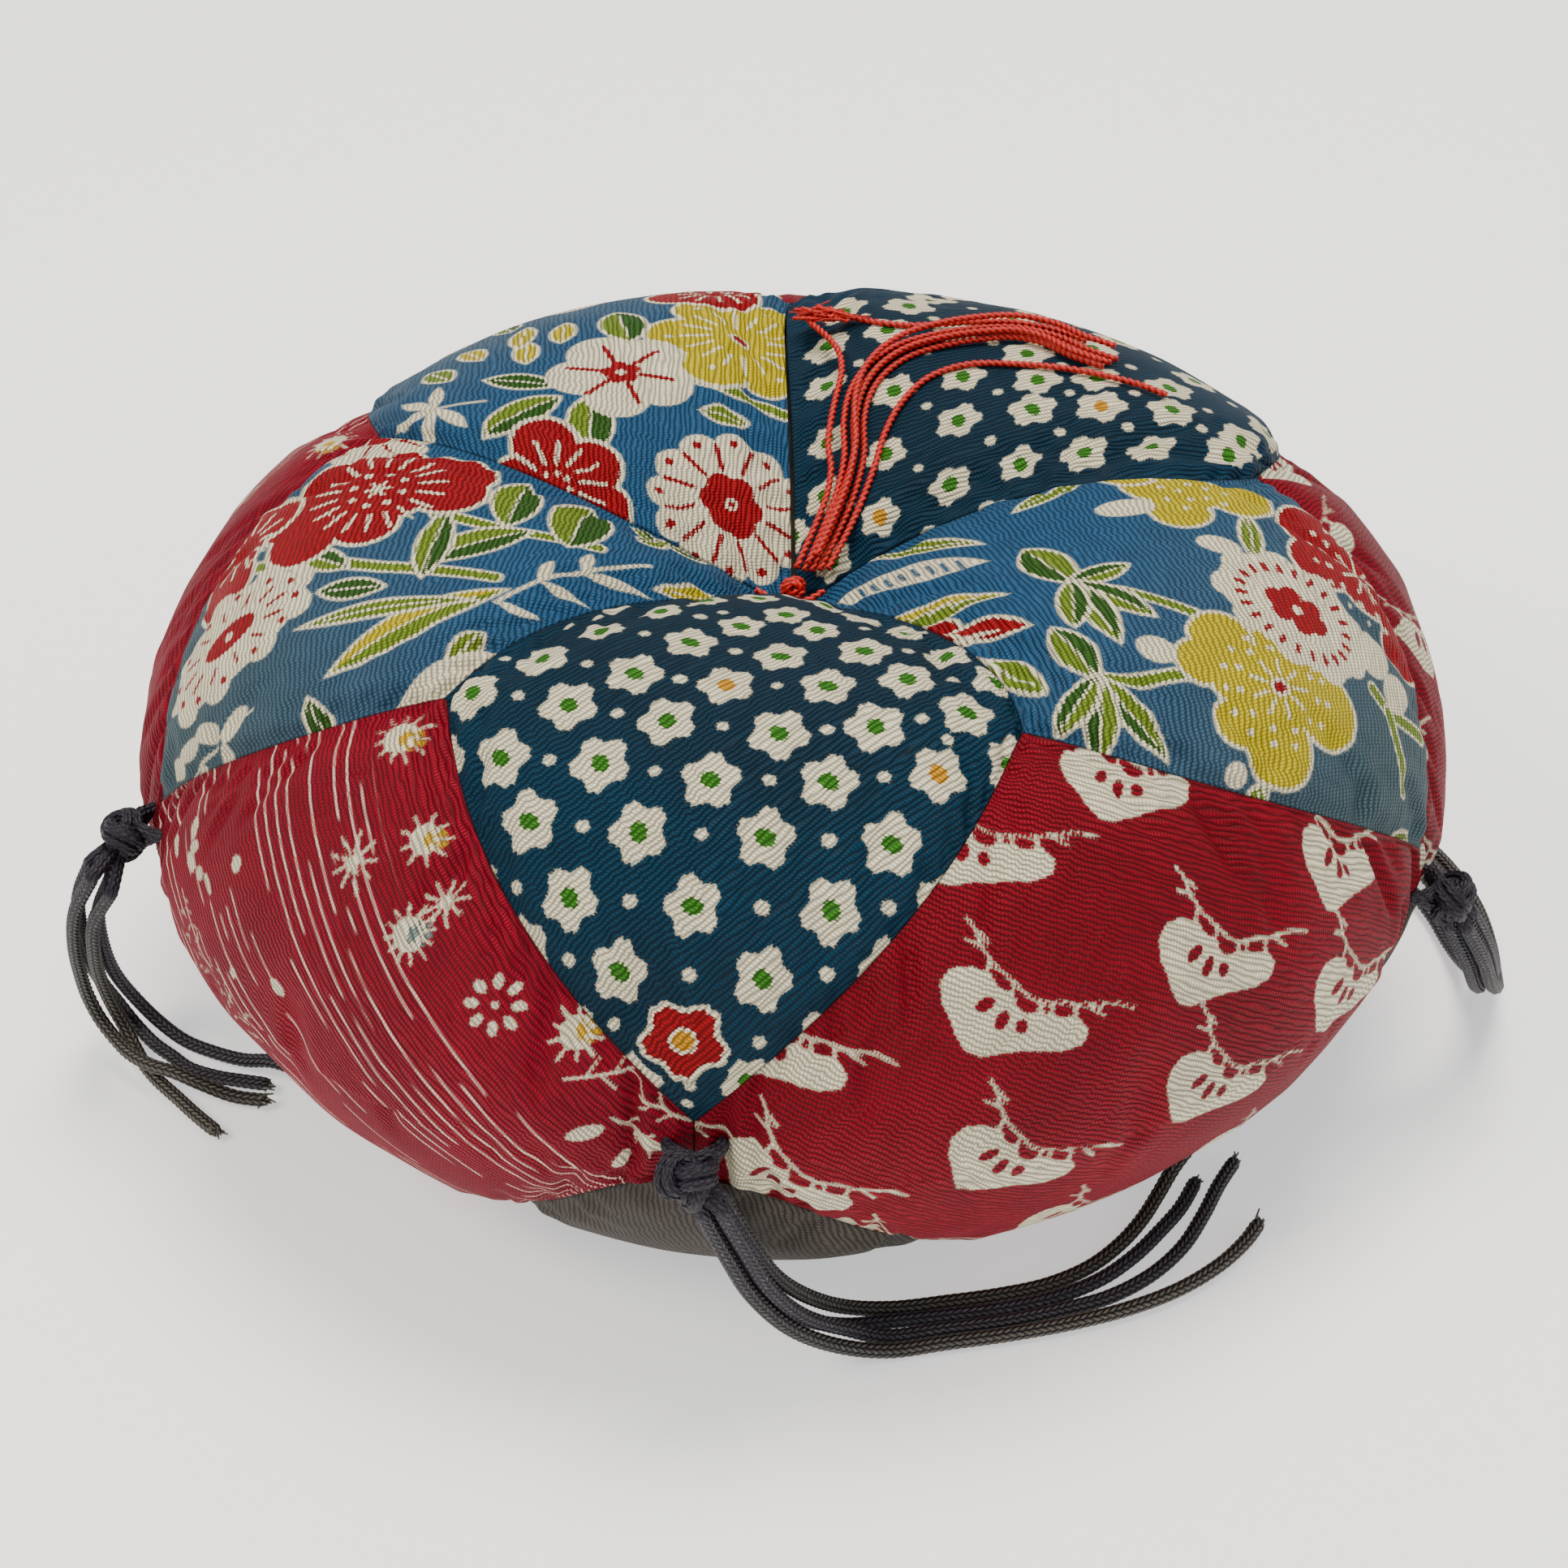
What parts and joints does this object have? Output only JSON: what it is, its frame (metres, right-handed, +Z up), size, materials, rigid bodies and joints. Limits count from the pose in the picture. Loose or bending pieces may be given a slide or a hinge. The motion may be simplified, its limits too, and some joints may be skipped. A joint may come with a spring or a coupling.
{
  "type": "pin cushion",
  "caption": "Round patchwork pin cushion of crepe silk, puffed like a flat pumpkin, with a dimpled middle tied with a red thread tuft and braided cord tassels at its tips.",
  "frame": {"origin": "middle of the cushion, on the surface that it stands on", "axes": "+Z up through the centre tie; the side with the front tassel faces -Y and +X is to its right"},
  "size_m": [0.1253, 0.1143, 0.0514],
  "materials": {
    "navy_blossom_crepe": "crinkled crepe silk, navy with cream plum blossoms",
    "blue_floral_crepe": "crinkled crepe silk, blue with leaves and flowers",
    "red_fan_crepe": "crinkled crepe silk, deep red with cream fans",
    "red_streak_crepe": "crinkled crepe silk, red with fine white streaks",
    "grey_crepe": "crinkled crepe silk, plain grey",
    "stuffing_fibre": "packed cotton fibre",
    "braided_cord": "braided dark grey and purple silk cord",
    "red_thread": "twisted red silk thread"
  },
  "bodies": {
    "cushion": {"top_patch_front": "navy_blossom_crepe", "side_patch_front_right": "red_fan_crepe", "under_patch_front": "grey_crepe", "cord_loop_front": "braided_cord", "top_patch_right": "blue_floral_crepe", "side_patch_right_side": "red_fan_crepe", "under_patch_right": "grey_crepe", "cord_loop_right": "braided_cord", "top_patch_back_right": "navy_blossom_crepe", "side_patch_back": "red_fan_crepe", "under_patch_back_right": "grey_crepe", "cord_loop_back_right": "braided_cord", "top_patch_back_left": "blue_floral_crepe", "side_patch_left_side": "red_streak_crepe", "under_patch_back_left": "grey_crepe", "cord_loop_back_left": "braided_cord", "top_patch_left": "blue_floral_crepe", "side_patch_front_left": "red_streak_crepe", "under_patch_left": "grey_crepe", "cord_loop_left": "braided_cord", "stuffing": "stuffing_fibre", "centre_tie": "red_thread", "top_knot": "red_thread", "under_knot": "red_thread"},
    "tassel_front": {"tassel_knot_front": "braided_cord", "tassel_cord_front_1": "braided_cord", "tassel_cord_front_2": "braided_cord", "tassel_cord_front_3": "braided_cord", "tassel_cord_front_4": "braided_cord"},
    "tassel_right": {"tassel_knot_right": "braided_cord", "tassel_cord_right_1": "braided_cord", "tassel_cord_right_2": "braided_cord", "tassel_cord_right_3": "braided_cord", "tassel_cord_right_4": "braided_cord"},
    "tassel_left": {"tassel_knot_left": "braided_cord", "tassel_cord_left_1": "braided_cord", "tassel_cord_left_2": "braided_cord", "tassel_cord_left_3": "braided_cord", "tassel_cord_left_4": "braided_cord"},
    "tuft": {"tuft_thread_1": "red_thread", "tuft_thread_2": "red_thread", "tuft_thread_3": "red_thread", "tuft_thread_4": "red_thread", "tuft_thread_5": "red_thread", "tuft_thread_6": "red_thread", "tuft_thread_7": "red_thread"}
  },
  "joints": [
    {"name": "tassel_front_swing", "type": "hinge", "parent": "cushion", "child": "tassel_front", "pos_m": [-0.00797, -0.05674, 0.0245], "axis": [0, 0, 1], "range_deg": [-75, 0]},
    {"name": "tassel_right_swing", "type": "hinge", "parent": "cushion", "child": "tassel_right", "pos_m": [0.05331, -0.021, 0.0218], "axis": [0, 0, 1], "range_deg": [-60, 0]},
    {"name": "tassel_left_swing", "type": "hinge", "parent": "cushion", "child": "tassel_left", "pos_m": [-0.0548, -0.01675, 0.026], "axis": [0, 0, 1], "range_deg": [-75, 0]},
    {"name": "tuft_lift", "type": "hinge", "parent": "cushion", "child": "tuft", "pos_m": [0, 0, 0.0389], "axis": [0.766, -0.6428, 0], "range_deg": [0, 60]}
  ]
}
